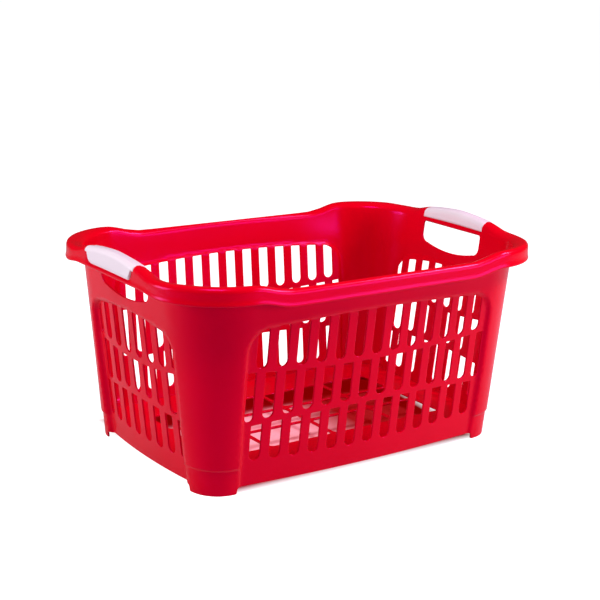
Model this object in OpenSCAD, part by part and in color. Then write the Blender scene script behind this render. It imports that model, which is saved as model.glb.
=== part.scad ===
// Open plastic carrying basket: leaning slotted walls, raised rim with a turned-down skirt, a grip at each end.
// Millimetres, +Z up, origin on the floor plane under the centre of the basket, +X along the length.
// The red moulding is drawn region by region: each region is a simple solid that meets its neighbours.

/* [Body] */
// Length over the foot line at floor level
foot_len = 442; // [410:1:480]
// Width over the foot line at floor level
foot_wid = 280; // [260:1:310]
// Outside radius of a corner post at floor level
foot_r = 40; // [36:1:44]
// Outward lean of every wall, mm per mm of height
lean = 0.116; // [0.09:0.002:0.13]
// Wall thickness of the moulding
wall = 2.6; // [2.4:0.1:3]
// Height of the shallow step near the foot of the corner posts
step_h = 33; // [28:1:38]
// Depth of that step
step_in = 1.6; // [1:0.1:1.8]

/* [Slots] */
// Width of a wall slot
slot_w = 14; // [10:0.5:15]
// Pitch of the wall slots
slot_pitch = 26.4; // [24:0.1:26.8]
// Slots in the upper and lower row of a long side
long_slots = 13; // [11:2:13]
// Slots in the upper and lower row of an end
end_slots = 8; // [6:2:8]

/* [Rim] */
// Height of the rim ridge along the long sides
side_ridge = 247.6; // [244:0.1:252]
// Height of the rim ridge at the corners
corner_ridge = 257.4; // [254:0.1:262]
// Height of the top of the grips
grip_ridge = 269.3; // [267:0.1:274]
// Overhang of the rim skirt beyond the corner axis on the ends
end_reach = 89; // [86:1:94]
// Overhang of the rim skirt beyond the corner axis on the long sides
side_reach = 82.4; // [80:0.2:88]

/* [Hand holes] */
// Width of a hand hole
hole_w = 115; // [100:1:120]
// Lowest point of a hand hole
hole_low = 211.6; // [210:0.2:216]
// Straight top edge of a hand hole
hole_top = 246.6; // [244:0.2:248]
// Length of a grip
grip_len = 120; // [118:1:130]
// Thickness of a grip over the rim
grip_t = 2.5; // [2:0.1:3]

/* [Hidden] */
$fn = 96;
red = [0.80, 0.02, 0.07];
white = [0.90, 0.89, 0.90];

// corner axes, and the tilt that matches the lean
cx = foot_len / 2 - foot_r;
cy = foot_wid / 2 - foot_r;
tilt = atan(lean);

// long sides: outer face at mid length, and how far it falls back at the posts
side_mid = cy + foot_r + 6.5;
side_band_sag = 7.5;
side_band_mid = cy + foot_r + side_band_sag;
side_sag = 8.6;
side_low = 8;
// ends: the same four
end_mid = cx + foot_r + 1.8;
end_band_sag = 3.5;
end_band_mid = cx + foot_r + end_band_sag;
end_sag = 3.7;
end_low = 9;
// ramp between a panel and its corner posts
ramp = 5;
// how far the bowed face runs on inside the ramp
lap = 0.8;

// top line of each panel: height at mid length, fall per square mm, corner radius
side_arch = [207.2, 0.000258, 30];
end_arch = [196.8, 0.0011, 26];
// slot rows, lowest first: bottom height, its rise per square mm, top height, its rise per square mm
side_rows = [[34.6, 0.000208, 88.0, -0.000167], [95.0, -0.0002, 142.7, 0.000233], [149.5, 0.000183, 230, 0]];
end_rows = [[33.8, 0.00037, 85.7, -0.00044], [93.2, -0.00083, 133.2, 0.00083], [140.0, 0.00074, 220, 0]];
slot_margin = 6;
slot_lid = 2;
// depth range that a cut through a wall covers, inward and outward of its floor-level face
reach_in = 30;
reach_out = 60;

// heights where the walls hand over to the rim
side_split = 226;
post_top = 236;
// lower edge of the rim skirt: long sides, corners, ends
side_hem = 228;
corner_hem = 236.4;
end_hem = 240;
// length over which a long side's rim climbs to the corner height
climb = 31;

// base grid
base_z = 22;
base_t = 2.4;
base_hole_r = 6;
// openings in the +X +Y quarter: columns along X, and rows along Y (the first one spans the middle)
base_cols = [[2.5, 94.5], [99.5, 170]];
base_rows = [[-25.5, 25.5], [30.5, 84]];

// grip edges
grip_in_z = 251;
grip_out_z = 245;
grip_proud = 0.8;

// ---------- shared shapes ----------

function smooth(t) = let (c = min(max(t, 0), 1)) c * c * (3 - 2 * c);
function mix(a, b, t) = a + (b - a) * t;
function bow_r(half, sag) = half * half / (2 * sag);

// cross-section of a drafted wall of outer radius r at floor level, with the foot step when in > 0
module wall_section(r, z0, z1, in) {
    z = [z0, step_h, step_h + 3, z1];
    polygon([
        [r - in + lean * z[0] - wall, z[0]],
        [r - in + lean * z[0], z[0]],
        [r - in + lean * z[1], z[1]],
        [r + lean * z[1], z[1]],
        [r + lean * z[3], z[3]],
        [r + lean * z[3] - wall, z[3]],
        [r + lean * z[2] - wall, z[2]],
        [r - in + lean * (z[1] - 2) - wall, z[1] - 2]]);
}

// plain drafted wall above the step
module plain_section(r, z0, z1) {
    polygon([
        [r + lean * z0 - wall, z0],
        [r + lean * z0, z0],
        [r + lean * z1, z1],
        [r + lean * z1 - wall, z1]]);
}

// bowed wall of a given half length, facing +Y, outer face at mid when z = 0
module bowed(mid, half, sag) {
    r = bow_r(half, sag);
    a = asin(half / r) + 0.4;
    translate([0, mid - r, 0])
        rotate([0, 0, 90 - a])
            rotate_extrude(angle = 2 * a, $fn = 900)
                children();
}

// panel outline in the wall's own plane, x across and z up
function arch_z(arch, x) = arch[0] - arch[1] * x * x;
function arch_pts(arch, half, low, drop) =
    let (r = arch[2], e = half - r, ze = arch_z(arch, e) - drop)
    concat(
        [for (i = [-8 : 8]) [e * i / 8, arch_z(arch, e * i / 8) - drop]],
        [for (i = [1 : 8]) let (a = 90 * (1 - i / 8)) [e + r * cos(a), ze - r + r * sin(a)]],
        [[half, low], [-half, low]],
        [for (i = [0 : 7]) let (a = 90 * i / 8) [-e - r * cos(a), ze - r + r * sin(a)]]);

module arch_shape(arch, half, low, drop = 0) {
    polygon(arch_pts(arch, half, low, drop));
}

// one wall slot: straight sides, top edge following its row, round bottom
module slot(x, row, w) {
    low = row[0] + row[1] * x * x + w / 2;
    top_a = row[2] + row[3] * pow(x - w / 2, 2);
    top_b = row[2] + row[3] * pow(x + w / 2, 2);
    translate([x, low])
        circle(d = w, $fn = 32);
    polygon([[x - w / 2, low], [x + w / 2, low], [x + w / 2, top_b], [x - w / 2, top_a]]);
}

// every slot of one wall, clipped to the panel
module slot_field(rows, arch, half, n) {
    intersection() {
        union() {
            for (k = [0 : len(rows) - 1]) {
                count = k == 1 ? n[1] : n[0];
                for (i = [0 : count - 1])
                    slot((i - (count - 1) / 2) * slot_pitch, rows[k], slot_w);
            }
        }
        arch_shape(arch, half - slot_margin, 0, slot_lid);
    }
}

// push a wall-plane shape through the wall that faces +Y
module through(depth0, depth1) {
    translate([0, depth1, 0])
        rotate([90, 0, 0])
            linear_extrude(depth1 - depth0)
                children();
}

// slotted panel facing +Y, with a ramp up to the post at each end
module panel(mid, half, sag, low, arch, rows, n) {
    face = mid - sag;
    post_face = half == cx ? cy + foot_r : cx + foot_r;
    difference() {
        union() {
            intersection() {
                bowed(mid, half - ramp, sag)
                    plain_section(bow_r(half - ramp, sag), low - 4, arch[0] + 4);
                through(face - reach_in, face + reach_out)
                    arch_shape(arch, half, low);
                translate([ramp - half - lap, 0, 0])
                    cube([2 * (half - ramp + lap), 400, 300]);
            }
            intersection() {
                union() {
                    ramp_web(half, face, post_face);
                    mirror([1, 0, 0])
                        ramp_web(half, face, post_face);
                }
                through(face - reach_in, face + reach_out)
                    arch_shape(arch, half, low);
            }
        }
        through(face - reach_in - 10, face + reach_out + 10)
            slot_field(rows, arch, half, n);
    }
}

// sloping web from the recessed panel out to the post face
module ramp_web(half, face, post_face) {
    translate([0, face, 0])
        rotate([-tilt, 0, 0])
            linear_extrude(240)
                polygon([
                    [half - ramp, -wall],
                    [half, post_face - face - wall],
                    [half, post_face - face],
                    [half - ramp, 0]]);
}

// plain band between a panel's arch and the rim, facing +Y
module band(mid, half, sag, top, arch) {
    difference() {
        intersection() {
            bowed(mid, half, sag)
                plain_section(bow_r(half, sag), arch[0] - 60, top);
            translate([-half, 0, 0])
                cube([2 * half, 400, 300]);
        }
        through(mid - sag - reach_in, mid + reach_out)
            arch_shape(arch, half, 0);
    }
}

// hand hole outline: straight top, sagging lower edge, round ends
module hand_hole() {
    r = 11;
    e = hole_w / 2 - r;
    rise = 6;
    polygon(concat(
        [for (i = [-8 : 8]) [e * i / 8, hole_low + rise * pow(i / 8, 2)]],
        [for (i = [1 : 6]) let (a = -90 + 90 * i / 6) [e + r * cos(a), hole_low + rise + r + r * sin(a)]],
        [[e + r, hole_top + 1], [-e - r, hole_top + 1]],
        [for (i = [0 : 5]) let (a = 180 + 90 * i / 6) [-e + r * cos(a), hole_low + rise + r + r * sin(a)]]));
}

// ---------- rim, swept along stations [[px, py], [nx, ny], wall, reach, ridge, hem, base] ----------

// closed section of the rim: up the wall, over the ridge, down the skirt, and back underneath
function rim_section(w, s, z, hem, b) =
    let (n = z - 8, i = w + lean * n - wall)
    [[w + lean * b - wall, b], [i, n], [i + 2, z - 2.2], [s - 6, z], [s - 1.8, z - 1.8], [s, z - 6],
     [s + 0.6, hem], [s - wall + 0.6, hem], [s - wall, z - 6.4], [max(s - 6, i + wall + 0.6), z - wall],
     [i + wall, n - 0.6], [w + lean * b, b]];

// grip section: the same outer line pushed out, closed by the rim's own outer line
function grip_section(w, s, z) =
    let (n = z - 8, i = w + lean * n - wall, g = grip_t + grip_proud, k = 2)
    [[w + lean * grip_in_z - wall, grip_in_z], [i, n], [i + 2, z - 2.2], [s - 6, z], [s - 1.8, z - 1.8],
     [s, z - 6], [s + 0.6 * (z - 6 - grip_out_z) / (z - 6 - end_hem), grip_out_z],
     [s + g, grip_out_z + 0.6], [s + g, z - 5], [s + g - 2.4, z + g - 3], [s - 6, z + grip_t],
     [i + 0.6, z + grip_t - 2.6], [i - k, n + 1.5], [w + lean * grip_in_z - wall - k, grip_in_z + 0.6]];

module sweep(rings) {
    m = len(rings[0]);
    n = len(rings);
    pts = [for (r = rings) each r];
    sides = [for (k = [0 : n - 2]) for (j = [0 : m - 1])
        let (a = k * m + j, b = k * m + (j + 1) % m, c = b + m, d = a + m)
        each [[a, b, c], [a, c, d]]];
    first = [for (j = [m - 1 : -1 : 0]) j];
    last = [for (j = [0 : m - 1]) (n - 1) * m + j];
    polyhedron(points = pts, faces = concat(sides, [first], [last]), convexity = 8);
}

function place(base, dir, section) =
    [for (q = section) [base[0] + dir[0] * q[0], base[1] + dir[1] * q[0], q[1]]];

// long side, facing +Y: level in the middle, rising to the corners
function side_level(x) = smooth((abs(x) - (cx - climb)) / climb);
function side_wall(x) = side_band_mid - side_band_sag * pow(x / cx, 2);
side_x = concat([for (i = [-6 : -1]) mix(-cx, -cx + climb, (i + 6) / 6)],
    [for (i = [-3 : 3]) (cx - climb) * i / 3],
    [for (i = [1 : 6]) mix(cx - climb, cx, i / 6)]);
module side_rim() {
    sweep([for (x = side_x) place([x, 0], [0, 1], rim_section(side_wall(x), cy + side_reach,
        mix(side_ridge, corner_ridge, side_level(x)), mix(side_hem, corner_hem, side_level(x)),
        side_split))]);
}

// end, facing +X: an arch over the hand hole, relieved under the grip
function end_rise(y) = smooth((cy - 8 - abs(y)) / (cy - 8));
function end_ridge(y) = mix(corner_ridge, grip_ridge, end_rise(y));
function end_wall(y) = end_band_mid - end_band_sag * pow(y / cy, 2);
function end_ring(y, cut) = place([0, y], [1, 0], rim_section(end_wall(y), cx + end_reach - cut,
    end_ridge(y) - cut, mix(corner_hem, end_hem, end_rise(y)), hole_top));
grip_y = [for (i = [5 : -1 : -5]) grip_len / 2 * i / 5];
tail_y = [for (i = [0 : 3]) mix(cy, grip_len / 2 + 0.4, i / 3)];
module end_rim() {
    sweep(concat(
        [for (y = tail_y) end_ring(y, 0)],
        [for (y = grip_y) end_ring(y, grip_t)],
        [for (i = [3 : -1 : 0]) end_ring(-tail_y[i], 0)]));
}
module grip() {
    sweep([for (i = [10 : -1 : 0]) place([0, grip_y[i]], [1, 0],
        grip_section(end_wall(grip_y[i]), cx + end_reach - grip_t, end_ridge(grip_y[i]) - grip_t))]);
}

// corner, from the +X end round to the +Y side
module rim_corner() {
    sweep([for (i = [9 : -1 : 0]) let (a = 90 * i / 9)
        place([cx, cy], [cos(a), sin(a)], rim_section(foot_r, mix(end_reach, side_reach, pow(sin(a), 2)),
            corner_ridge, corner_hem, post_top))]);
}

// corner post and foot at the +X +Y corner
module post() {
    translate([cx, cy, 0])
        rotate_extrude(angle = 90, $fn = 144)
            wall_section(foot_r, 0, post_top, step_in);
}

module side_panel() {
    panel(side_mid, cx, side_sag, side_low, side_arch, side_rows, [long_slots, long_slots + 1]);
}
module end_panel() {
    panel(end_mid, cy, end_sag, end_low, end_arch, end_rows, [end_slots, end_slots - 1]);
}
module side_band() {
    band(side_band_mid, cx, side_band_sag, side_split, side_arch);
}
module end_band() {
    difference() {
        band(end_band_mid, cy, end_band_sag, hole_top, end_arch);
        through(end_mid - reach_in, end_mid + reach_out)
            hand_hole();
    }
}

// floor of the basket: a flat grid that fits inside the walls
module base_outline() {
    r = foot_r - step_in + lean * base_z - wall;
    intersection() {
        union() {
            for (sx = [-1, 1])
                for (sy = [-1, 1])
                    translate([sx * cx, sy * cy])
                        circle(r = r);
            square([2 * cx, 2 * (cy + foot_r + 10)], center = true);
            square([2 * (cx + foot_r + 10), 2 * cy], center = true);
        }
        base_bow(side_mid, cx - ramp, side_sag);
        rotate(90)
            base_bow(end_mid, cy - ramp, end_sag);
    }
}
// lens between two opposite bowed walls, at the height of the base
module base_bow(mid, half, sag) {
    big = bow_r(half, sag);
    intersection() {
        translate([0, mid - big])
            circle(r = big + lean * base_z - wall, $fn = 900);
        translate([0, big - mid])
            circle(r = big + lean * base_z - wall, $fn = 900);
    }
}
module base_hole(x0, x1, y0, y1) {
    r = base_hole_r;
    translate([x0 + r, y0])
        square([x1 - x0 - 2 * r, y1 - y0]);
    translate([x0, y0 + r])
        square([x1 - x0, y1 - y0 - 2 * r]);
    for (x = [x0 + r, x1 - r])
        for (y = [y0 + r, y1 - r])
            translate([x, y])
                circle(r = r, $fn = 32);
}

module base_grid() {
    color(red)
        translate([0, 0, base_z])
            linear_extrude(base_t)
                difference() {
                    base_outline();
                    for (col = base_cols)
                        for (row = base_rows)
                            for (sx = [0, 1])
                                for (sy = [0, 1])
                                    mirror([sx, 0])
                                        mirror([0, sy])
                                            base_hole(col[0], col[1], row[0], row[1]);
                }
}

// ---------- regions of the moulding, and the two grips ----------

module rear_panel() { color(red) side_panel(); }
module front_panel() { color(red) mirror([0, 1, 0]) side_panel(); }
module right_panel() { color(red) rotate([0, 0, -90]) end_panel(); }
module left_panel() { color(red) rotate([0, 0, 90]) end_panel(); }
module rear_band() { color(red) side_band(); }
module front_band() { color(red) mirror([0, 1, 0]) side_band(); }
module right_band() { color(red) rotate([0, 0, -90]) end_band(); }
module left_band() { color(red) rotate([0, 0, 90]) end_band(); }
module rear_right_post() { color(red) post(); }
module rear_left_post() { color(red) mirror([1, 0, 0]) post(); }
module front_right_post() { color(red) mirror([0, 1, 0]) post(); }
module front_left_post() { color(red) rotate([0, 0, 180]) post(); }
module rear_rim() { color(red) side_rim(); }
module front_rim() { color(red) mirror([0, 1, 0]) side_rim(); }
module right_rim() { color(red) end_rim(); }
module left_rim() { color(red) mirror([1, 0, 0]) end_rim(); }
module rear_right_rim_corner() { color(red) rim_corner(); }
module rear_left_rim_corner() { color(red) mirror([1, 0, 0]) rim_corner(); }
module front_right_rim_corner() { color(red) mirror([0, 1, 0]) rim_corner(); }
module front_left_rim_corner() { color(red) rotate([0, 0, 180]) rim_corner(); }
module right_grip() { color(white) grip(); }
module left_grip() { color(white) mirror([1, 0, 0]) grip(); }

base_grid();
front_panel();
rear_panel();
left_panel();
right_panel();
front_band();
rear_band();
left_band();
right_band();
front_left_post();
front_right_post();
rear_left_post();
rear_right_post();
front_rim();
rear_rim();
left_rim();
right_rim();
front_left_rim_corner();
front_right_rim_corner();
rear_left_rim_corner();
rear_right_rim_corner();
left_grip();
right_grip();
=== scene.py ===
"""Looks for the plastic carrying basket: one seamless red moulding, its floor grid and two white grips."""

import math

import bmesh
import bpy
import numpy as np
from mathutils import Euler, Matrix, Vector
from mathutils.geometry import delaunay_2d_cdt


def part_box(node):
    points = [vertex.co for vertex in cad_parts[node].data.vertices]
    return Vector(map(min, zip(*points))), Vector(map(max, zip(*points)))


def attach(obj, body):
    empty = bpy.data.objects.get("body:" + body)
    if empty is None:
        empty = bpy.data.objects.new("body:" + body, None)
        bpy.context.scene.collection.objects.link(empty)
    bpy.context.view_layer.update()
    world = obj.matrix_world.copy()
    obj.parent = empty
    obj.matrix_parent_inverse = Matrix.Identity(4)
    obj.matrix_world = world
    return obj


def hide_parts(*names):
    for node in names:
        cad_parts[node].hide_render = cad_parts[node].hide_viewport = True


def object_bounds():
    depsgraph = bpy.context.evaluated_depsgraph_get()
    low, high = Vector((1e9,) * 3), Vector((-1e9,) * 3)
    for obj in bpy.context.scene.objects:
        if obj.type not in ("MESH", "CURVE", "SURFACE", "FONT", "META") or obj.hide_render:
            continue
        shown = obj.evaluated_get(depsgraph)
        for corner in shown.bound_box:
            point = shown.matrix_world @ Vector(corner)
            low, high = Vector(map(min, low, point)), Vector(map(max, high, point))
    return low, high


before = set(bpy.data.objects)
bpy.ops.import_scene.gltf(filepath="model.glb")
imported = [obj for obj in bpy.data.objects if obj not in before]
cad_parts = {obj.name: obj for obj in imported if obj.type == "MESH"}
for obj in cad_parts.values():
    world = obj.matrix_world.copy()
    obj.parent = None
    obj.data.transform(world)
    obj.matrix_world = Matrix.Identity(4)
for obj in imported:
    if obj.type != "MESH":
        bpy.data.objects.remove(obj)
cad_lo, cad_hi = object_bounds()

MM = 0.001


def corner_of(node, high):
    """One corner of a CAD node's box, in millimetres."""
    return np.array(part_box(node)[1 if high else 0]) / MM


# ---------------------------------------------------------------- sizes, in millimetres

LEAN_X, LEAN_Y = 0.12, 0.11  # outward lean of the end walls and the long walls
POST_TOP = 236.0
POST_SET_X, POST_SET_Y = 1.4, 0.4  # how much fuller the posts are than the CAD ones
HEM_LIP = 0.6  # how far the CAD hem stands out from the skirt
GRIP_CLEAR = 0.1

SKIRT_X = corner_of("rear_right_rim_corner", True)[0] - HEM_LIP
SKIRT_Y = corner_of("rear_right_rim_corner", True)[1] - HEM_LIP
GRIP_TOP = corner_of("right_grip", True)[2] - GRIP_CLEAR
GRIP_OUT = corner_of("right_grip", True)[0]
BASE_LOW = corner_of("base_grid", False)[2]
BASE_HIGH = corner_of("base_grid", True)[2]
POST_X = corner_of("rear_right_post", True)[0] - LEAN_X * POST_TOP + POST_SET_X
POST_Y = corner_of("rear_right_post", True)[1] - LEAN_Y * POST_TOP + POST_SET_Y

POST_R, POST_R_GROWTH = 39.5, 0.18  # plan radius of a corner post at the ground, and its growth with height
SKIN = 2.5
EDGE = 0.8
STEP_Z, STEP_RUN, STEP_IN = 31.2, 2.4, 1.7  # the ledge above each foot
SIDE_HALF, END_HALF = 186.0, 106.0
SIDE_BOW, END_BOW = 6.4, 1.9
SIDE_RIDGE = 247.6
SKIRT_R = 90.0
RIDGE_IN, RIDGE_DROP = 6.0, 6.0
NECK = 8.0
GRIP_HALF = 60.0
GRIP_CUT, GRIP_RAMP = 1.7, 8.0  # recess under a grip, and the run over which it begins
SKIRT_SET = 0.5
GRIP_IN_Z = 251.0


def smooth(t):
    t = np.clip(t, 0.0, 1.0)
    return t * t * (3 - 2 * t)


def mix(a, b, t):
    return a + (b - a) * t


def unit(v):
    return v / np.maximum(np.linalg.norm(v, axis=-1, keepdims=True), 1e-9)


def pchip(xs, ys, x):
    """Smooth curve through the points that never overshoots them, level at both ends."""
    xs, ys = np.asarray(xs, float), np.asarray(ys, float)
    h, d = np.diff(xs), np.diff(ys) / np.diff(xs)
    m = np.zeros(len(xs))
    same = d[:-1] * d[1:] > 0
    w1, w2 = 2 * h[1:] + h[:-1], h[1:] + 2 * h[:-1]
    safe = np.where(same, d[:-1], 1), np.where(same, d[1:], 1)
    m[1:-1] = np.where(same, (w1 + w2) / (w1 / safe[0] + w2 / safe[1]), 0)
    x = np.clip(np.asarray(x, float), xs[0], xs[-1])
    i = np.clip(np.searchsorted(xs, x, side="right") - 1, 0, len(h) - 1)
    t = (x - xs[i]) / h[i]
    return (ys[i] * (1 + 2 * t) * (1 - t) ** 2 + m[i] * h[i] * t * (1 - t) ** 2
            + ys[i + 1] * t * t * (3 - 2 * t) + m[i + 1] * h[i] * t * t * (t - 1))


# ---------------------------------------------------------------- plane outlines


PANEL_STRAIGHT_Z, PANEL_FOOT_Z, PANEL_BELOW_Z = 110.0, 8.0, -60.0
TAPER_BELOW = 1.6


def arch_outline(top, fall, half, radius, taper):
    """Closed outline of a wall panel: arched top, rounded upper corners, sides that close in downwards.

    It is closed below the ground, where there is no wall.
    """
    e = half - radius
    ze = top - fall * e * e
    right = [(e + radius * math.sin(a), ze - radius + radius * math.cos(a))
             for a in np.linspace(0, math.pi / 2, 12)]
    right += [(half, PANEL_STRAIGHT_Z), (half - taper, PANEL_FOOT_Z), (half - taper * TAPER_BELOW, PANEL_BELOW_Z)]
    crown = [(x, top - fall * x * x) for x in np.linspace(-e, e, 25)[1:-1]]
    left = [(-x, z) for x, z in reversed(right)]
    return np.array(left + crown + right)


def outline_distance(p, loop):
    """Distance from each point to a closed outline, and whether it is inside."""
    a, b = loop, np.roll(loop, -1, axis=0)
    out, inside = np.full(len(p), 1e9), np.zeros(len(p), bool)
    for s, e in zip(a, b):
        d = e - s
        t = np.clip(((p - s) @ d) / max(d @ d, 1e-12), 0, 1)
        out = np.minimum(out, np.linalg.norm(p - (s + t[:, None] * d), axis=1))
        if s[1] != e[1]:
            crosses = (s[1] > p[:, 1]) != (e[1] > p[:, 1])
            inside ^= crosses & (p[:, 0] < d[0] * (p[:, 1] - s[1]) / d[1] + s[0])
    return out, inside


SHARP = 30.0  # degrees of turn from which a corner is rounded
CORNER_SHARE = 0.48  # share of a side that a rounded corner may take


def bend(v, da, db, reach):
    """Points round a corner at v, between the sides that leave it along da and db."""
    la, lb = np.linalg.norm(da), np.linalg.norm(db)
    r = min(reach, la * CORNER_SHARE, lb * CORNER_SHARE)
    p, q = v + da / la * r, v + db / lb * r
    return [(1 - t) ** 2 * p + 2 * t * (1 - t) * v + t * t * q for t in (0, 0.25, 0.5, 0.75, 1)]


def soften(loop, reach):
    """Closed outline with its sharp corners rounded off."""
    out = []
    for i, v in enumerate(loop):
        da, db = loop[i - 1] - v, loop[(i + 1) % len(loop)] - v
        cosine = -(da @ db) / (np.linalg.norm(da) * np.linalg.norm(db))
        turn = math.degrees(math.acos(np.clip(cosine, -1, 1)))
        out += [v] if turn < SHARP else bend(v, da, db, reach)
    return np.array(out)


def soften_open(chain, reach):
    """Open chain of points with every corner rounded off."""
    out = [chain[0]]
    for before, v, after in zip(chain, chain[1:], chain[2:]):
        out += bend(v, before - v, after - v, reach)
    return np.array(out + [chain[-1]])


def nearest(points, loop):
    """Closest point of a closed outline to each point."""
    best, out = np.full(len(points), 1e9), np.zeros_like(points)
    for s, e in zip(loop, np.roll(loop, -1, axis=0)):
        d = e - s
        t = np.clip(((points - s) @ d) / max(d @ d, 1e-12), 0, 1)
        q = s + t[:, None] * d
        r = np.linalg.norm(points - q, axis=1)
        hit = r < best
        best[hit], out[hit] = r[hit], q[hit]
    return out


def divide(loop, step, closed=True):
    """Outline with its edges divided into lengths of at most one step."""
    out = []
    n = len(loop)
    for i in range(n if closed else n - 1):
        a, b = loop[i], loop[(i + 1) % n]
        k = max(1, int(math.ceil(np.linalg.norm(b - a) / step)))
        out += [a + (b - a) * j / k for j in range(k)]
    if not closed:
        out.append(loop[-1])
    return np.array(out)


MITRE_LIMIT = 0.7


def normals_of(loop, closed=True):
    """Unit normals to the right of the direction of travel, scaled so that an offset keeps its distance."""
    d = unit(np.roll(loop, -1, axis=0) - loop)
    if not closed:
        d[-1] = d[-2]
    before = np.roll(d, 1, axis=0)
    if not closed:
        before[0] = d[0]
    na = np.stack([before[:, 1], -before[:, 0]], 1)
    nb = np.stack([d[:, 1], -d[:, 0]], 1)
    n = unit(na + nb)
    return n / np.maximum((n * nb).sum(1, keepdims=True), MITRE_LIMIT)


POST_BEND = 0.9  # share of a post's radius over which the wall may follow its curve
BOW_BLEND = 0.0025
HAIR = 1e-6


class Wall:
    """Shape of one wall in its own plane: u runs across it, z up.

    face(u, z) is how far out its outer face is. half is half its width, post the reach of the corner posts at the
    ground, centre_u and drift place the posts' axes, panel is the reach and curvature of the slotted panel, and
    arch its outline, with an inner outline lip lower and ramp narrower where the recess is at full depth.
    """

    def __init__(self, half, post, lean, centre_u, drift, bow, panel, arch, lip, ramp):
        self.half, self.post, self.lean, self.centre_u, self.drift = half, post, lean, centre_u, drift
        self.bow = bow
        self.panel_out, self.panel_curve = panel
        top, fall, side, radius, taper = arch
        self.outer = arch_outline(top, fall, side, radius, taper)
        self.inner = arch_outline(top - lip, fall, side - ramp, radius - ramp * 0.6, taper)

    def face(self, u, z):
        u, z = np.broadcast_arrays(np.asarray(u, float), np.asarray(z, float))
        shape = u.shape
        u, z = u.ravel(), z.ravel()
        c = self.centre_u - self.drift * z
        r = POST_R + POST_R_GROWTH * z
        over = np.clip(np.abs(u) - c, 0, r * POST_BEND)
        g = 1 - (u / c) ** 2
        post = self.post + self.lean * z - r + np.sqrt(r * r - over * over)
        post = post + self.bow * (g + np.sqrt(g * g + BOW_BLEND)) / 2
        post = post - STEP_IN * (1 - smooth((z - STEP_Z) / STEP_RUN))
        panel = self.panel_out + self.lean * z - self.panel_curve * u * u
        p = np.stack([u, z], 1)
        d0, in0 = outline_distance(p, self.outer)
        d1, in1 = outline_distance(p, self.inner)
        k = np.where(in1, 1.0, np.where(in0, smooth(d0 / np.maximum(d0 + d1, HAIR)), 0.0))
        return mix(post, panel, k).reshape(shape)


SIDE = Wall(SIDE_HALF, POST_Y, LEAN_Y, POST_X - POST_R, POST_R_GROWTH - LEAN_X, SIDE_BOW,
            (POST_Y + 4.5, 23.94 / 300 ** 2), (210.2, 0.000258, 181.0, 30.0, 3.4), 2.0, 4.5)
END = Wall(END_HALF, POST_X, LEAN_X, POST_Y - POST_R, POST_R_GROWTH - LEAN_Y, END_BOW,
           (POST_X - 1.6, 18.74 / 180 ** 2), (197.6, 0.0011, 101.0, 26.0, 2.0), 1.8, 6.0)


def side_point(u, z, depth):
    y = SIDE.face(u, z) - depth
    return np.stack(np.broadcast_arrays(np.asarray(u, float), y, np.asarray(z, float)), -1)


def end_point(u, z, depth):
    x = END.face(u, z) - depth
    return np.stack(np.broadcast_arrays(x, np.asarray(u, float), np.asarray(z, float)), -1)


# ---------------------------------------------------------------- slots and hand holes

SLOT_W = 14.0
SLOT_CORNER = 1.9
SIDE_PITCH, END_PITCH = 26.4, 26.2
SIDE_LIMIT, END_LIMIT = 175.0, 92.0  # slots reach no further than this from the middle of the wall
LID_GAP = 0.3

# each row: height of the slots' lower and upper ends as a + b * x * x, given as (a, b) for the lower, then the upper
SIDE_ROWS = [(34.6, 0.000208, 88.0, -0.000167), (95.0, -0.0002, 142.7, 0.000233), (149.5, 0.000183, 300, 0)]
END_ROWS = [(33.8, 0.00037, 85.7, -0.00044), (93.2, -0.00083, 133.2, 0.00083), (140.0, 0.00074, 300, 0)]
SIDE_COUNTS, END_COUNTS = (13, 14, 13), (8, 7, 8)

HOLE_HALF, HOLE_LOW, HOLE_TOP, HOLE_RISE, HOLE_R = 57.5, 211.6, 246.6, 6.0, 11.0
HOLE_CORNER = 5.0


def corner_lid(wall, u):
    """Height of the panel's inner outline above u."""
    pts = wall.inner[wall.inner[:, 1] > PANEL_STRAIGHT_Z - 10]
    order = np.argsort(pts[:, 0])
    return float(np.interp(u, pts[order, 0], pts[order, 1]))


def slot_outline(x0, x1, low, row_top, lid):
    r, xm = (x1 - x0) / 2, (x0 + x1) / 2
    bowl = [(xm + r * math.cos(a), low + r + r * math.sin(a)) for a in np.linspace(math.pi, 2 * math.pi, 15)]
    top = [(u, min(row_top(u), lid(u))) for u in np.linspace(x1, x0, 7)]
    return divide(soften(np.array(bowl + top), SLOT_CORNER), 3.6)


def slots(wall, rows, counts, pitch, limit):
    """Outlines of all the slots of a wall."""

    def lid(u):
        reach = EDGE * 1.5
        return min(corner_lid(wall, u - reach), corner_lid(wall, u + reach)) - EDGE - LID_GAP

    out = []
    for (low0, low2, top0, top2), count in zip(rows, counts):
        for i in range(count):
            x = (i - (count - 1) / 2) * pitch
            x0, x1 = max(x - SLOT_W / 2, -limit), min(x + SLOT_W / 2, limit)
            out.append(slot_outline(x0, x1, low0 + low2 * x * x, lambda u: top0 + top2 * u * u, lid))
    return out


def hand_hole():
    e = HOLE_HALF - HOLE_R
    low = [(e * t, HOLE_LOW + HOLE_RISE * t * t) for t in np.linspace(-1, 1, 17)]
    zc = HOLE_LOW + HOLE_RISE + HOLE_R
    right = [(e + HOLE_R * math.cos(a), zc + HOLE_R * math.sin(a))
             for a in np.linspace(-math.pi / 2, 0, 8)[1:]]
    left = [(-x, z) for x, z in reversed(right)]
    loop = low + right + [(HOLE_HALF, HOLE_TOP), (-HOLE_HALF, HOLE_TOP)] + left
    return divide(soften(np.array(loop), HOLE_CORNER), 4.0)


# ---------------------------------------------------------------- rim path, as a distance s from mid side to mid end

SKIRT_CX, SKIRT_CY = SKIRT_X - SKIRT_R, SKIRT_Y - SKIRT_R
ARC = SKIRT_R * math.pi / 2
PATH = SKIRT_CX + ARC + SKIRT_CY
S_SIDE, S_END = 140.0, 70.0  # up to here, rim and wall share their stations
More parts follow.
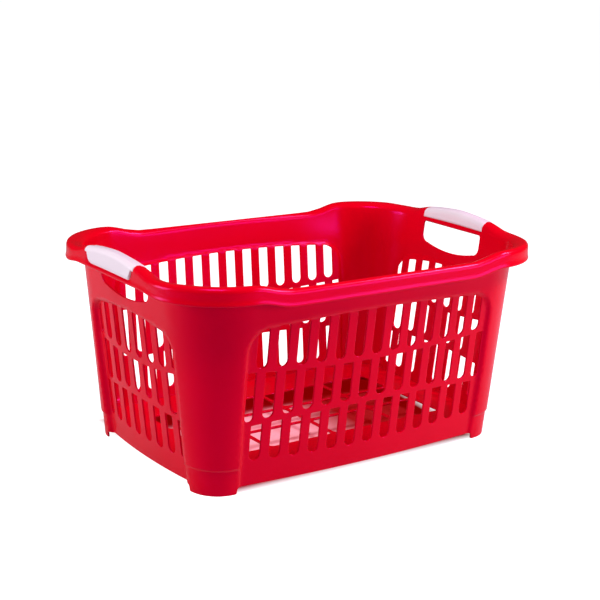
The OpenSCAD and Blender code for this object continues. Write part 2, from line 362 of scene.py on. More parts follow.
# height of the ridge above its low middle, along the rim
RIDGE_S = np.array([0, 100, 134, 142.8, 154.8, 168, 180, 200, 262,
                    293, 311, 321.4, 328.8, 339.4, 351.4, 385, 413.8])
RIDGE_Z = SIDE_RIDGE + np.array([0, 0, 0.3, 1.5, 3.6, 7.0, 9.2, 9.8, 9.8,
                                 8.8, 8.8, 9.5, 10.4, 13.2, 16.0, 20.0, 0])
RIDGE_Z[-1] = GRIP_TOP
HEM = ([0, 130, 182, 300, 335, PATH], [228.0, 228.0, 236.4, 236.4, 240.0, 240.0])


def ridge(s):
    return pchip(RIDGE_S * PATH / RIDGE_S[-1], RIDGE_Z, s)


def hem(s):
    return pchip(*HEM, s)


def skirt(s):
    """Plan point and outward normal of the skirt's outer face."""
    if s <= SKIRT_CX:
        return np.array([s, SKIRT_Y]), np.array([0.0, 1.0])
    if s <= SKIRT_CX + ARC:
        a = (s - SKIRT_CX) / SKIRT_R
        n = np.array([math.sin(a), math.cos(a)])
        return np.array([SKIRT_CX, SKIRT_CY]) + SKIRT_R * n, n
    return np.array([SKIRT_X, PATH - s]), np.array([1.0, 0.0])


NOMINAL = 248.0  # height at which the rim stations are spread over the wall
R_TOP = POST_R + POST_R_GROWTH * NOMINAL


def angles(z):
    """Angles at which the corner patch starts and ends, from the +Y direction."""
    r = POST_R + POST_R_GROWTH * z
    a = np.arcsin((SIDE_HALF - (SIDE.centre_u - SIDE.drift * z)) / r)
    b = np.pi / 2 - np.arcsin((END_HALF - (END.centre_u - END.drift * z)) / r)
    return a, b


A0, A1 = angles(NOMINAL)
CORNER_RUN = R_TOP * (A1 - A0)
WALL_RUN = (SIDE_HALF - S_SIDE) + CORNER_RUN + (END_HALF - S_END)
SKIRT_RUN = PATH - S_SIDE - S_END


def s_side(x):
    x = abs(x)
    return x if x <= S_SIDE else S_SIDE + (x - S_SIDE) * SKIRT_RUN / WALL_RUN


def s_corner(t):
    return S_SIDE + (SIDE_HALF - S_SIDE + CORNER_RUN * t) * SKIRT_RUN / WALL_RUN


def s_end(y):
    y = abs(y)
    return PATH - y if y <= S_END else PATH - S_END - (y - S_END) * SKIRT_RUN / WALL_RUN


# ---------------------------------------------------------------- mesh building


class Build:
    """Points, in millimetres, and faces of one piece."""

    def __init__(self):
        self.verts, self.faces = [], []

    def add(self, pts):
        """Adds points and returns their indices."""
        start = len(self.verts)
        self.verts += [tuple(p) for p in np.asarray(pts, float).reshape(-1, 3)]
        return np.arange(start, len(self.verts))

    def strip(self, a, b, closed=False):
        """Quads between two rows of indices."""
        n = len(a)
        for i in range(n if closed else n - 1):
            j = (i + 1) % n
            self.faces.append((a[i], a[j], b[j], b[i]))

    def mirrored(self, sx, sy):
        out = Build()
        out.verts = [(x * sx, y * sy, z) for x, y, z in self.verts]
        out.faces = list(self.faces)
        return out

    def join(self, other):
        k = len(self.verts)
        self.verts += other.verts
        self.faces += [tuple(i + k for i in f) for f in other.faces]

    def to_object(self, name):
        bm = bmesh.new()
        vs = [bm.verts.new((x * MM, y * MM, z * MM)) for x, y, z in self.verts]
        for f in self.faces:
            corners = tuple(vs[i] for i in f)
            if len(set(f)) == len(f) and bm.faces.get(corners) is None:
                bm.faces.new(corners)
        bmesh.ops.remove_doubles(bm, verts=bm.verts[:], dist=1e-5)
        loose = [v for v in bm.verts if not v.link_faces]
        bmesh.ops.delete(bm, geom=loose, context="VERTS")
        bmesh.ops.recalc_face_normals(bm, faces=bm.faces[:])
        mesh = bpy.data.meshes.new(name)
        bm.to_mesh(mesh)
        bm.free()
        mesh.shade_smooth()
        o = bpy.data.objects.new(name, mesh)
        bpy.context.scene.collection.objects.link(o)
        m = o.modifiers.new("weighted normals", "WEIGHTED_NORMAL")
        m.mode = "FACE_AREA"
        m.weight = 60
        return o


def edge_profile(skin, radius=EDGE):
    """(distance into the material, depth) round a moulded edge, from the outer to the inner face."""
    a = np.linspace(0, math.pi / 2, 5)
    first = [(radius * (1 - math.sin(t)), radius * (1 - math.cos(t))) for t in a]
    last = [(q, skin - d) for q, d in reversed(first)]
    return first + last


def triangulate(chains, points):
    """Fills closed chains, the first one the border, with triangles.

    Returns points, triangles, where each given point went and each chain's first point and length.
    """
    verts, edges, spans = [], [], []
    for loop, closed in chains:
        k = len(verts)
        verts += [tuple(p) for p in loop]
        n = len(loop)
        edges += [(k + i, k + (i + 1) % n) for i in range(n if closed else n - 1)]
        spans.append((k, n))
    verts += [tuple(p) for p in points]
    out = delaunay_2d_cdt([Vector(v) for v in verts], edges, [], 1, 1e-5)
    where = {}
    for new, olds in enumerate(out[3]):
        for old in olds:
            where[old] = new
    return np.array([tuple(v) for v in out[0]]), [tuple(f) for f in out[2]], where, spans


def clear_of(points, loops, gap):
    """Points that keep a gap from every outline point and lie inside none of the closed outlines."""
    keep = np.ones(len(points), bool)
    for loop, closed in loops:
        lo, hi = loop.min(0) - gap - 1, loop.max(0) + gap + 1
        near = np.where(keep & (points >= lo).all(1) & (points <= hi).all(1))[0]
        if len(near) == 0:
            continue
        if closed:
            d, inside = outline_distance(points[near], loop)
            keep[near[inside | (d < gap)]] = False
        else:
            d = np.sqrt(((points[near][:, None] - loop[None]) ** 2).sum(2)).min(1)
            keep[near[d < gap]] = False
    return points[keep]


HOLE_RING, RING_GAP, GUIDE_GAP = 1.3, 1.0, 0.9
GRID_HOLE_GAP, GRID_GUIDE_GAP, GRID_BORDER_GAP, RING_BORDER_GAP = 2.6, 1.6, 1.4, 0.8


def sheet(build, border, bottom, holes, guides, grid, place, profile):
    """A sheet of two skins: border is its flat outline, bottom the run of that with a moulded edge.

    Holes are cut out with the profile round them, guides are lines that the mesh follows, grid its other points, and
    place(u, z, depth) puts a flat point on the object.
    """
    skin = profile[-1][1]
    hole_flat = [h + n * profile[0][0] for h, n in holes]
    chains = [(border, True)] + [(h, True) for h in hole_flat] + [(g, False) for g in guides]
    loops = [(h, True) for h in hole_flat]
    rings = np.concatenate([clear_of(h + n * (profile[0][0] + HOLE_RING), loops[:i] + loops[i + 1:], RING_GAP)
                            for i, (h, n) in enumerate(holes)])
    closed_border = np.vstack([border, border[:1]])
    lines = [(divide(line, 1.5, False), False) for line in guides + [closed_border]]
    rings = clear_of(rings, lines, GUIDE_GAP)
    grid = clear_of(clear_of(grid, loops, GRID_HOLE_GAP), lines, GRID_GUIDE_GAP)
    d, inside = outline_distance(grid, border)
    grid = grid[inside & (d > GRID_BORDER_GAP)]
    d, inside = outline_distance(rings, border)
    rings = rings[inside & (d > RING_BORDER_GAP)]
    flat, tris, where, spans = triangulate(chains, np.concatenate([rings, grid]))
    owner = {}
    for h, (k, n) in enumerate(spans[1:1 + len(holes)]):
        for i in range(k, k + n):
            owner[where[i]] = h
    kept = [t for t in tris if len({owner.get(i, -1 - i) for i in t}) > 1]
    outer = build.add(place(flat[:, 0], flat[:, 1], 0.0))
    inner = build.add(place(flat[:, 0], flat[:, 1], skin))
    build.faces += [tuple(outer[i] for i in t) for t in kept]
    build.faces += [tuple(inner[i] for i in t) for t in kept]
    runs = []
    for (loop, n), (k, count) in zip(holes, spans[1:1 + len(holes)]):
        runs.append((loop, n, [where[k + i] for i in range(count)], True))
    if bottom is not None:
        loop, n, start = bottom
        runs.append((loop, n, [where[start + i] for i in range(len(loop))], False))
    for loop, n, ids, closed in runs:
        last = outer[ids]
        for into, depth in profile[1:-1]:
            q = loop + n * into
            row = build.add(place(q[:, 0], q[:, 1], depth))
            build.strip(last, row, closed)
            last = row
        build.strip(last, inner[ids], closed)
    return outer, inner, where


PROFILE = edge_profile(SKIN)
LEDGE_Z = (30.4, 31.4, 32.4, 33.4)
SIDE_Z = np.concatenate([[EDGE], np.arange(4, 29, 4.0), LEDGE_Z, [35.0], np.arange(40, 246, 5.0)])
LIFT, LIFT_RUN, LIFT_CORNER = 8.0, 0.6, 2.6  # the wall's lower edge is lifted off the ground between the feet
GRID_STEP = 5.0


def wall_build(wall, place, s_of, foot, holes):
    """One long or end wall, without its corner posts."""
    build = Build()
    half = wall.half
    us = np.linspace(-half, half, 2 * int(round(half / 4.0)) + 1)
    if wall is END:
        edge = GRIP_HALF + np.array([-0.6, 0.0, 0.6, 1.2])
        us = np.unique(np.concatenate([us[np.abs(np.abs(us) - GRIP_HALF) > 2.2], edge, -edge]).round(4))
    top = np.array([(u, float(ridge(s_of(u))) - NECK) for u in us])
    inner_foot = foot - LIFT_RUN
    chain = np.array([(-half, 0), (-foot, 0), (-inner_foot, LIFT), (inner_foot, LIFT), (foot, 0), (half, 0)], float)
    core = divide(soften_open(chain, LIFT_CORNER), 3.5, False)
    n = -normals_of(core, False)
    n[0] = n[-1] = (0, 1)
    bottom = core + n * PROFILE[0][0]
    side_z = SIDE_Z[SIDE_Z < top[0, 1] - 2]
    right = np.array([(half, z) for z in side_z[1:]])
    left = right[::-1] * (-1, 1)
    border = np.concatenate([bottom, right, top[::-1], left])
    guides = []
    for loop in (wall.outer, wall.inner):
        g = divide(loop, 3.0, True)
        g = g[g[:, 1] > LIFT + 3]
        jumps = np.abs(np.diff(g[:, 0]))
        if jumps.max() > half / 2:  # the cut-off foot of the outline: the guide starts there
            g = np.roll(g, -(int(np.argmax(jumps)) + 1), axis=0)
        guides.append(g)
    gx, gz = np.meshgrid(np.arange(-half + 3, half - 2, GRID_STEP), np.arange(4, 262, GRID_STEP))
    gx = gx + np.where((gz / GRID_STEP).round().astype(int) % 2 == 0, GRID_STEP / 2, 0.0)
    grid = np.stack([gx.ravel(), gz.ravel()], 1)
    rim_of_ramp = divide(wall.outer, 3.0)
    foot_of_ramp = nearest(rim_of_ramp, wall.inner)
    ramp = np.concatenate([mix(rim_of_ramp, foot_of_ramp, t) for t in (0.25, 0.5, 0.75)])
    rows = np.array([(sx * u, z) for z in LEDGE_Z for u in np.arange(foot + 2.5, half - 1, 2.2)
                     for sx in (-1, 1)]).reshape(-1, 2)
    grid = np.concatenate([clear_of(grid, [(ramp, False)], 1.8), ramp, rows])
    hole_runs = [(h, normals_of(h)) for h in holes]
    sheet(build, border, (core, n, 0), hole_runs, guides, grid, place, PROFILE)
    return build, us


CORNER_N = 18  # columns of faces round a corner post


def corner_point(j, z, depth):
    """Point of the +X +Y corner post; j runs from the long side to the end."""
    z, depth = np.asarray(z, float), np.asarray(depth, float)
    if j == 0:
        return side_point(np.full(z.shape, SIDE_HALF), z, depth)
    if j == CORNER_N:
        return end_point(np.full(z.shape, END_HALF), z, depth)
    a, b = angles(z)
    t = mix(a, b, j / CORNER_N)
    r = POST_R + POST_R_GROWTH * z - STEP_IN * (1 - smooth((z - STEP_Z) / STEP_RUN)) - depth
    cx, cy = SIDE.centre_u - SIDE.drift * z, END.centre_u - END.drift * z
    return np.stack([cx + r * np.sin(t), cy + r * np.cos(t), z], -1)


def corner_build():
    """The +X +Y corner post, between the long wall and the end wall."""
    build = Build()
    columns = []
    shared_z = SIDE_Z[SIDE_Z < float(ridge(s_side(SIDE_HALF))) - NECK - 2]
    into, depth = np.array(PROFILE[1:-1]).T
    for j in range(CORNER_N + 1):
        s = s_side(SIDE_HALF) if j == 0 else s_end(END_HALF) if j == CORNER_N else s_corner(j / CORNER_N)
        zs = np.append(shared_z, float(ridge(s)) - NECK)
        pts = [corner_point(j, zs[::-1], np.zeros(len(zs))), corner_point(j, into, depth),
               corner_point(j, zs, np.full(len(zs), SKIN))]
        columns.append(build.add(np.concatenate(pts)))
    for a, b in zip(columns, columns[1:]):
        build.strip(a, b)
    return build


QUARTER = np.radians([15, 30, 45, 60, 75, 90])
SKIRT_STEPS = (0.25, 0.5, 0.72, 0.84, 0.92)
SKIRT_LEAN, HEM_FLARE = 0.25, 0.75
FLARE_FROM, FLARE_RUN, CUT_RUN = 0.6, 0.4, 0.3
HEM_OUT = 0.5


def rim_line(inner, outer, s, cut):
    """Rim section at one station: from the wall's inner face over the ridge, round the hem, to its outer face."""
    p, n = skirt(s)
    zr, zh = float(ridge(s)), float(hem(s))
    zn = zr - NECK
    top, reach = zr - cut, RIDGE_IN
    p = p - n * (cut + SKIRT_SET)
    r = p - n * reach
    z0 = top - RIDGE_DROP
    half_t = SKIN / 2
    flare = cut + SKIRT_SET + HEM_OUT
    lips = [SKIRT_LEAN * t + HEM_FLARE * float(smooth((t - FLARE_FROM) / FLARE_RUN))
            + cut * float(smooth((t - FLARE_FROM) / CUT_RUN)) for t in SKIRT_STEPS]
    skirt_rows = [(lip, mix(z0, zh + half_t, t)) for t, lip in zip(SKIRT_STEPS, lips)]
    pts = []
    for a in QUARTER:
        pts.append((*(inner + (r - inner) * (1 - math.cos(a))), zn + (top - zn) * math.sin(a)))
    for a in QUARTER:
        pts.append((*(r + n * reach * math.sin(a)), top - RIDGE_DROP * (1 - math.cos(a))))
    for lip, z in skirt_rows:
        pts.append((*(p + n * lip), z))
    for a in np.radians([0, 30, 60, 90, 120, 150, 180]):
        pts.append((*(p + n * (flare - half_t + half_t * math.cos(a))), zh + half_t - half_t * math.sin(a)))
    for lip, z in skirt_rows[::-1]:
        pts.append((*(p + n * (lip - SKIN)), z))
    for a in QUARTER[::-1]:
        drop = (RIDGE_DROP - SKIN) * (1 - math.cos(a))
        pts.append((*(r + n * (reach - SKIN) * math.sin(a)), top - SKIN - drop))
    for a in QUARTER[::-1]:
        pts.append((*(outer + (r - outer) * (1 - math.cos(a))), zn + (top - SKIN - zn) * math.sin(a)))
    return pts


def rim_build(side_us, end_us):
    """A quarter of the rim, from mid side round the corner to mid end."""
    build = Build()
    stations = []
    for u in side_us[side_us >= -1e-9]:
        s = s_side(u)
        stations.append((s, lambda z, d, u=u: side_point(u, z, d)))
    for j in range(1, CORNER_N):
        stations.append((s_corner(j / CORNER_N), lambda z, d, j=j: corner_point(j, z, d)))
    for u in end_us[::-1][end_us[::-1] >= -1e-9]:
        s = s_end(u)
        stations.append((s, lambda z, d, u=u: end_point(u, z, d)))
    last = None
    for s, at in stations:
        zn = float(ridge(s)) - NECK
        inner, outer = at(zn, SKIN), at(zn, 0.0)
        y = PATH - s
        cut = GRIP_CUT * float(smooth((GRIP_HALF - 1.0 - y) / GRIP_RAMP))
        ring = build.add([tuple(inner)] + rim_line(inner[:2], outer[:2], s, cut) + [tuple(outer)])
        if last is not None:
            build.strip(last, ring)
        last = ring
    return build


# ---------------------------------------------------------------- the moulding

SIDE_FOOT, END_FOOT = 178.6, 103.2  # where the feet begin, from the middle of the wall

side, side_us = wall_build(SIDE, side_point, s_side, SIDE_FOOT,
                           slots(SIDE, SIDE_ROWS, SIDE_COUNTS, SIDE_PITCH, SIDE_LIMIT))
end, end_us = wall_build(END, end_point, s_end, END_FOOT,
                         slots(END, END_ROWS, END_COUNTS, END_PITCH, END_LIMIT) + [hand_hole()])
corner = corner_build()
rim = rim_build(side_us, end_us)

moulding = Build()
for sx, sy in ((1, 1), (1, -1)):
    moulding.join(side.mirrored(sx, sy))
for sx, sy in ((1, 1), (-1, 1)):
    moulding.join(end.mirrored(sx, sy))
for sx in (1, -1):
    for sy in (1, -1):
        moulding.join(corner.mirrored(sx, sy))
        moulding.join(rim.mirrored(sx, sy))
basket = moulding.to_object("basket_moulding")

# ---------------------------------------------------------------- floor grid

FLOOR_R = 6.0
FLOOR_EDGE = 0.7
FLOOR_SINK = SKIN - 1.3  # how deep in the wall the floor's border runs
FLOOR_COLS = ((2.5, 94.5), (99.5, 170.0))
FLOOR_ROWS = ((-25.5, 25.5), (30.5, 84.0))


def floor_outline():
    z = (BASE_LOW + BASE_HIGH) / 2
    pts = [side_point(u, z, FLOOR_SINK)[:2] for u in np.linspace(0, SIDE_HALF, 40)]
    pts += [corner_point(j, z, FLOOR_SINK)[:2] for j in range(1, CORNER_N)]
    pts += [end_point(u, z, FLOOR_SINK)[:2] for u in np.linspace(END_HALF, 0, 24)]
    q = np.array(pts)
    full = np.concatenate([q, q[-2::-1] * (1, -1), q[1:] * (-1, -1), q[-2:0:-1] * (-1, 1)])
    return full[::-1]


def floor_holes():
    """Rounded openings of the floor grid, mirrored from the +X +Y quarter."""
    out = []
    for x0, x1 in FLOOR_COLS:
        for y0, y1 in FLOOR_ROWS:
            loop = []
            for cx, cy, a0 in ((x1, y1, 0), (x0, y1, 90), (x0, y0, 180), (x1, y0, 270)):
                px = cx - math.copysign(FLOOR_R, cx - (x0 + x1) / 2)
                py = cy - math.copysign(FLOOR_R, cy - (y0 + y1) / 2)
                loop += [(px + FLOOR_R * math.cos(a), py + FLOOR_R * math.sin(a))
                         for a in np.radians(np.linspace(a0, a0 + 90, 7))]
            loop = np.array(loop)
            for sx in (1, -1):
                for sy in (1, -1) if y0 > 0 else (1,):
                    hole = loop * (sx, sy)
                    out.append(divide(hole if sx * sy > 0 else hole[::-1], 5.0))
    return out


def floor_place(u, v, depth):
    u, v, depth = np.asarray(u, float), np.asarray(v, float), np.asarray(depth, float)
    return np.stack(np.broadcast_arrays(u, v, BASE_HIGH - depth), -1)


floor_mesh = Build()
outline = floor_outline()
fx, fy = np.meshgrid(np.arange(-220, 221, 7.0), np.arange(-140, 141, 7.0))
fgrid = np.stack([fx.ravel(), fy.ravel()], 1)
d, inside = outline_distance(fgrid, outline)
fgrid = fgrid[inside & (d > 2)]
floor_profile = edge_profile(BASE_HIGH - BASE_LOW, FLOOR_EDGE)
openings = [(loop, normals_of(loop)) for loop in floor_holes()]
outer_ids, inner_ids, where = sheet(floor_mesh, outline, None, openings, [], fgrid, floor_place, floor_profile)
ring = [where[i] for i in range(len(outline))]
floor_mesh.strip(outer_ids[ring], inner_ids[ring], True)
floor_piece = floor_mesh.to_object("basket_floor")

# ---------------------------------------------------------------- grips

# lower edge of the outer face against the distance from the middle of the grip
GRIP_LOW = ([0, 45, 48, 50.2, 52.0, 53.6, 55.4, 57.2, 58.8, GRIP_HALF],
            [245.0, 245.0, 245.9, 248.0, 251.4, 255.2, 259.0, 262.0, 263.6, 264.0])
GRIP_Y = [0, 6, 12, 18, 24, 30, 36, 40, 43, 45, 46.5, 47.8, 49, 50, 50.8, 51.6, 52.4, 53.2, 54, 54.8, 55.6, 56.4,
          57.2, 58, 58.6, 59.1, 59.5, 59.8]
GRIP_END = 2.0  # run over which the shell rounds off at its ends
GRIP_INNER_GAP = 0.9
GRIP_BACK = 2.45
GRIP_LIP, LIP_SHARE = 1.6, 0.35


def grip_path(y):
    """Section of the rim under a grip: points from the inner face over the ridge to the lower edge, and normals."""
    zr = float(ridge(PATH - abs(y)))
    zn = zr - NECK
    low = float(pchip(*GRIP_LOW, abs(y)))
    xr = SKIRT_X - RIDGE_IN
    z0 = zr - RIDGE_DROP
    rows = [(float(end_point(y, z, SKIN)[0]), z, -1.0, 0.0) for z in np.linspace(GRIP_IN_Z, zn, 6)[:-1]]
    xi = float(end_point(y, zn, SKIN)[0])
    for a in np.linspace(0, math.pi / 2, 9):
        rows.append((xi + (xr - xi) * (1 - math.cos(a)), zn + NECK * math.sin(a), -math.cos(a), math.sin(a)))
    for a in np.linspace(0, math.pi / 2, 9)[1:]:
        rows.append((xr + RIDGE_IN * math.sin(a), zr - RIDGE_DROP * (1 - math.cos(a)), math.sin(a), math.cos(a)))
    rows += [(SKIRT_X, z, 1.0, 0.0) for z in np.linspace(z0, min(low, z0 - 0.8), 7)[1:]]
    rows = np.array(rows)
    return rows[:, :2], rows[:, 2:]


def grip_build():
    """The +X grip: a shell over the rim with rounded lips and ends."""
    build = Build()
    proud = GRIP_OUT - SKIRT_X
    xr = SKIRT_X - RIDGE_IN
    rings = []
    for y in [-y for y in GRIP_Y[:0:-1]] + GRIP_Y:
        past = max(0.0, abs(y) - (GRIP_HALF - GRIP_END)) / GRIP_END
        end_t = math.sqrt(max(0.0, 1 - past ** 2))
        path, norm = grip_path(y)
        gap = np.where(norm[:, 0] < -0.05, GRIP_INNER_GAP, proud)
        gap = np.where(norm[:, 1] > 0.9, 0.0, gap)
        gap = np.where(path[:, 0] > xr, np.minimum(proud, (path[:, 0] - xr) / RIDGE_IN * proud), gap)
        along = np.append(0, np.cumsum(np.linalg.norm(np.diff(path, axis=0), axis=1)))
        to_edge = np.minimum(along, along[-1] - along)
        lip_t = np.sqrt(np.clip(1 - (np.clip(GRIP_LIP - to_edge, 0, GRIP_LIP) / GRIP_LIP) ** 2, 0, 1))
        outer = path + norm * gap[:, None]
        back = path - norm * GRIP_BACK
        face = mix(back + (outer - back) * LIP_SHARE, outer, (lip_t * end_t)[:, None])
        rings.append(build.add([(x, y, z) for x, z in np.concatenate([face, back[::-1]])]))
    for a, b in zip(rings, rings[1:]):
        build.strip(a, b, True)
    for row in (rings[0], rings[-1]):
        m = len(row) // 2
        build.strip(row[:m], row[m:][::-1])
    return build


grip = grip_build()
right_grip = grip.to_object("right_grip_shell")
left_grip = grip.mirrored(-1, 1).to_object("left_grip_shell")

# ---------------------------------------------------------------- materials


def plastic(name, base, deep, roughness, grain, specular, tint, edge_highlight_paint):
    """Moulded plastic: slow colour drift, fine grain in the gloss and the surface, and a painted highlight that
    makes sharp edges lighter.

    The colour drifts between deep and base, roughness is a range, grain the depth of the fine surface noise.
    """
    mat = bpy.data.materials.new(name)
    mat.use_nodes = True
    nodes, links = mat.node_tree.nodes, mat.node_tree.links
    shader = nodes["Principled BSDF"]
    coords = nodes.new("ShaderNodeTexCoord")

    def noise(scale, detail, rough=0.5):
        n = nodes.new("ShaderNodeTexNoise")
        n.inputs["Scale"].default_value = scale
        n.inputs["Detail"].default_value = detail
        n.inputs["Roughness"].default_value = rough
        links.new(coords.outputs["Object"], n.inputs["Vector"])
        return n.outputs["Fac"]

    drift = nodes.new("ShaderNodeValToRGB")
    for stop, position, colour in zip(drift.color_ramp.elements, (0.32, 0.68), (deep, base)):
        stop.position, stop.color = position, (*colour, 1)
    links.new(noise(9.0, 2.0), drift.inputs["Fac"])
    # painted highlight: sharp edges, found by pointiness, are painted a lighter colour
    geometry = nodes.new("ShaderNodeNewGeometry")
    edge_highlight_mask = nodes.new("ShaderNodeMapRange")
    edge_highlight_mask.inputs["From Min"].default_value, edge_highlight_mask.inputs["From Max"].default_value = 0.53, 0.62
    edge_highlight_mask.inputs["To Min"].default_value, edge_highlight_mask.inputs["To Max"].default_value = 0.0, edge_highlight_paint
    links.new(geometry.outputs["Pointiness"], edge_highlight_mask.inputs["Value"])
    blend = nodes.new("ShaderNodeMix")
    blend.data_type = "RGBA"
    links.new(edge_highlight_mask.outputs["Result"], blend.inputs["Factor"])
    links.new(drift.outputs["Color"], blend.inputs["A"])
    blend.inputs["B"].default_value = (*[min(1.0, c * 1.15 + 0.06) for c in base], 1)
    links.new(blend.outputs["Result"], shader.inputs["Base Color"])

    gloss = nodes.new("ShaderNodeMapRange")
    gloss.inputs["To Min"].default_value, gloss.inputs["To Max"].default_value = roughness
    links.new(noise(60.0, 4.0, 0.6), gloss.inputs["Value"])
    links.new(gloss.outputs["Result"], shader.inputs["Roughness"])
    shader.inputs["Specular IOR Level"].default_value = specular
    shader.inputs["IOR"].default_value = 1.49
    shader.inputs["Specular Tint"].default_value = (*tint, 1)

    fine = nodes.new("ShaderNodeBump")
    fine.inputs["Strength"].default_value = 0.22
    fine.inputs["Distance"].default_value = grain
    links.new(noise(1400.0, 3.0, 0.6), fine.inputs["Height"])
    broad = nodes.new("ShaderNodeBump")
    broad.inputs["Strength"].default_value = 0.25
    broad.inputs["Distance"].default_value = 0.0006
    links.new(noise(14.0, 1.0), broad.inputs["Height"])
    links.new(fine.outputs["Normal"], broad.inputs["Normal"])
    links.new(broad.outputs["Normal"], shader.inputs["Normal"])
    return mat


red = plastic("moulded_red_polypropylene", base=(0.63, 0.0, 0.010), deep=(0.58, 0.0, 0.008),
              roughness=(0.15, 0.24), grain=0.00004, specular=0.2, tint=(1.0, 0.0, 0.9), edge_highlight_paint=0.2)
white = plastic("moulded_white_grip", base=(0.70, 0.67, 0.70), deep=(0.66, 0.62, 0.66),
                roughness=(0.32, 0.46), grain=0.00005, specular=0.35, tint=(1, 1, 1), edge_highlight_paint=0.2)

for piece, mat in ((basket, red), (floor_piece, red), (left_grip, white), (right_grip, white)):
    piece.data.materials.append(mat)
    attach(piece, "root")

red_nodes = [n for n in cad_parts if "grip" not in n and n != "base_grid"]
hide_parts(*sorted(red_nodes))
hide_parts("base_grid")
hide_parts("left_grip")
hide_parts("right_grip")

# ---------------------------------------------------------------- floor, lights, camera

FLOOR_SIDE = 90.0
ground_mesh = bpy.data.meshes.new("studio_floor")
reach = FLOOR_SIDE / 2
ground_mesh.from_pydata([(-reach, -reach, 0), (reach, -reach, 0), (reach, reach, 0), (-reach, reach, 0)], [],
                        [(0, 1, 2, 3)])
ground = bpy.data.objects.new("studio_floor", ground_mesh)
bpy.context.scene.collection.objects.link(ground)
paper = bpy.data.materials.new("studio_paper")
paper.use_nodes = True
paper_shader = paper.node_tree.nodes["Principled BSDF"]
paper_shader.inputs["Roughness"].default_value = 0.9
paper_shader.inputs["Specular IOR Level"].default_value = 0.0
ground_mesh.materials.append(paper)
# the paper is lit from below, except where the basket stands on it: there it has a painted shadow, dark red for
# painted red light thrown down by the basket, and a painted pool of key light makes it paler towards the left and
# front
paper_nodes, paper_links = paper.node_tree.nodes, paper.node_tree.links
paper_coords = paper_nodes.new("ShaderNodeTexCoord")
place = paper_nodes.new("ShaderNodeSeparateXYZ")
paper_links.new(paper_coords.outputs["Object"], place.inputs["Vector"])


def figure(operation, *values):
    """One arithmetic node of the paper material; values are sockets or numbers."""
    node = paper_nodes.new("ShaderNodeMath")
    node.operation = operation
    for socket, value in zip(node.inputs, values):
        if isinstance(value, (int, float)):
            socket.default_value = value
        else:
            paper_links.new(value, socket)
    return node.outputs[0]


def ranged(tree, source, start, end, low, high):
    """The source, start to end, mapped to low to high."""
    node = tree.nodes.new("ShaderNodeMapRange")
    node.inputs["From Min"].default_value, node.inputs["From Max"].default_value = start, end
    node.inputs["To Min"].default_value, node.inputs["To Max"].default_value = low, high
    tree.links.new(source, node.inputs["Value"])
    return node.outputs["Result"]


def blended(factor, first, second):
    """Colour mix of the paper material; colours are sockets or values."""
    node = paper_nodes.new("ShaderNodeMix")
    node.data_type = "RGBA"
    paper_links.new(factor, node.inputs["Factor"])
    for name, value in (("A", first), ("B", second)):
        if isinstance(value, tuple):
            node.inputs[name].default_value = (*value, 1)
        else:
            paper_links.new(value, node.inputs[name])
    return node.outputs["Result"]


# reach of the painted shadow under the basket: its left edge, its slanted right edge, and its reach in y about a
# middle set a little back
UNDER_X, UNDER_SLANT = 0.2, 0.215
UNDER_Y, UNDER_MID_Y, SLANT = 0.15, 0.016, 0.15
# the colour under the basket is a painted shadow, dark red for painted red light thrown down by the basket, with a
# paler painted pool of key light in it; the glow under the basket is that painted red light too
UNDER_SHADOW_COLOUR, LIT_COLOUR, PAPER_COLOUR = (0.22, 0.012, 0.015), (0.80, 0.46, 0.50), (0.55, 0.55, 0.55)
UNDER_BOUNCE_GLOW, PAPER_GLOW = (0.20, 0.0, 0.0), (1.0, 1.0, 1.0)
GLOW_ON_OBJECT, SKY_ON_OBJECT = 0.12, 0.03  # light that reaches the object, where the camera sees 1

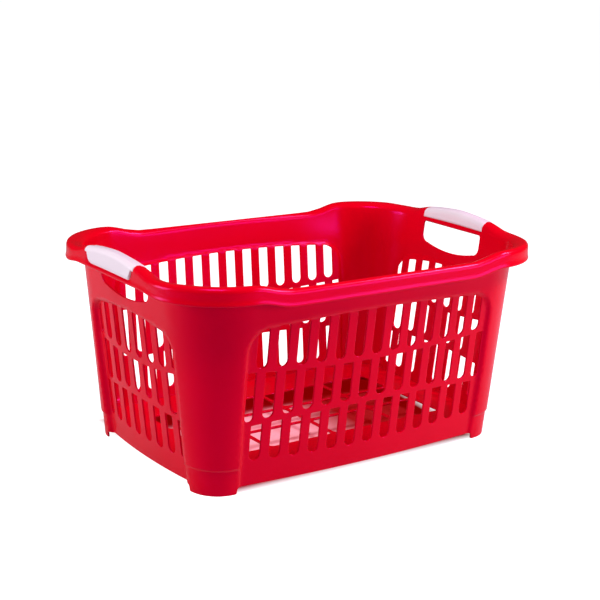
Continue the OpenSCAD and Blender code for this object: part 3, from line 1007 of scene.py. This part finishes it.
west = figure("MULTIPLY", place.outputs["X"], -1 / UNDER_X)
slanted = figure("MULTIPLY_ADD", place.outputs["Y"], -SLANT, place.outputs["X"])
east = figure("MULTIPLY", slanted, 1 / UNDER_SLANT)
off_middle = figure("ABSOLUTE", figure("SUBTRACT", place.outputs["Y"], UNDER_MID_Y))
edge_of = figure("MAXIMUM", figure("MAXIMUM", west, east), figure("MULTIPLY", off_middle, 1 / UNDER_Y))
# mask of the painted shadow: 0 under the basket, 1 on the open paper
unshadowed_paper = ranged(paper.node_tree, edge_of, 0.93, 1.03, 0.0, 1.0)
# painted pool of key light: the paper under the basket is painted paler towards low x and low y
lit = figure("MULTIPLY", ranged(paper.node_tree, place.outputs["X"], 0.02, 0.09, 1.0, 0.0),
             ranged(paper.node_tree, place.outputs["Y"], 0.07, 0.11, 1.0, 0.0))
seen_paper = paper_nodes.new("ShaderNodeLightPath").outputs["Is Camera Ray"]
paper_links.new(blended(unshadowed_paper, blended(lit, UNDER_SHADOW_COLOUR, LIT_COLOUR), PAPER_COLOUR),
                paper_shader.inputs["Base Color"])
paper_links.new(blended(unshadowed_paper, UNDER_BOUNCE_GLOW, PAPER_GLOW), paper_shader.inputs["Emission Color"])
paper_links.new(ranged(paper.node_tree, seen_paper, 0.0, 1.0, GLOW_ON_OBJECT, 1.0),
                paper_shader.inputs["Emission Strength"])

world = bpy.data.worlds.new("studio")
bpy.context.scene.world = world
world.use_nodes = True
sky = world.node_tree.nodes["Background"]
sky.inputs["Color"].default_value = (1, 1, 1, 1)
seen_sky = world.node_tree.nodes.new("ShaderNodeLightPath").outputs["Is Camera Ray"]
world.node_tree.links.new(ranged(world.node_tree, seen_sky, 0.0, 1.0, SKY_ON_OBJECT, 1.0), sky.inputs["Strength"])


def lamp(name, where, target, size, power, colour=(1, 1, 1)):
    data = bpy.data.lights.new(name, "AREA")
    data.shape = "DISK"
    data.size, data.energy, data.color = size, power, colour
    o = bpy.data.objects.new(name, data)
    o.location = where
    o.rotation_euler = (Vector(target) - Vector(where)).to_track_quat("-Z", "Y").to_euler()
    bpy.context.scene.collection.objects.link(o)


centre = (cad_lo + cad_hi) / 2
lamp("key", (1.14, -0.72, 1.33), centre, 0.45, 22, (1.0, 0.72, 0.92))
lamp("front_fill", (1.0, -1.42, 0.50), centre, 0.8, 16, (1.0, 0.42, 0.9))
lamp("left_fill", (-1.60, 0.60, 0.55), centre, 0.8, 21, (1.0, 0.92, 1.0))
lamp("overhead", (-0.42, -0.42, 1.5), centre, 0.5, 17, (1.0, 0.85, 0.92))

# found by fitting the camera to the corners of the wall slots, the feet and the rim
camera_data = bpy.data.cameras.new("photo_view")
camera_data.lens, camera_data.sensor_width = 82.558, 36.0
camera = bpy.data.objects.new("photo_view", camera_data)
camera.location = (-0.97164, -1.38813, 0.62513)
camera.rotation_euler = Euler([math.radians(a) for a in (75.1724, -1.5077, -34.6236)])
bpy.context.scene.collection.objects.link(camera)
bpy.context.scene.camera = camera
bpy.context.scene.view_settings.view_transform = "Standard"
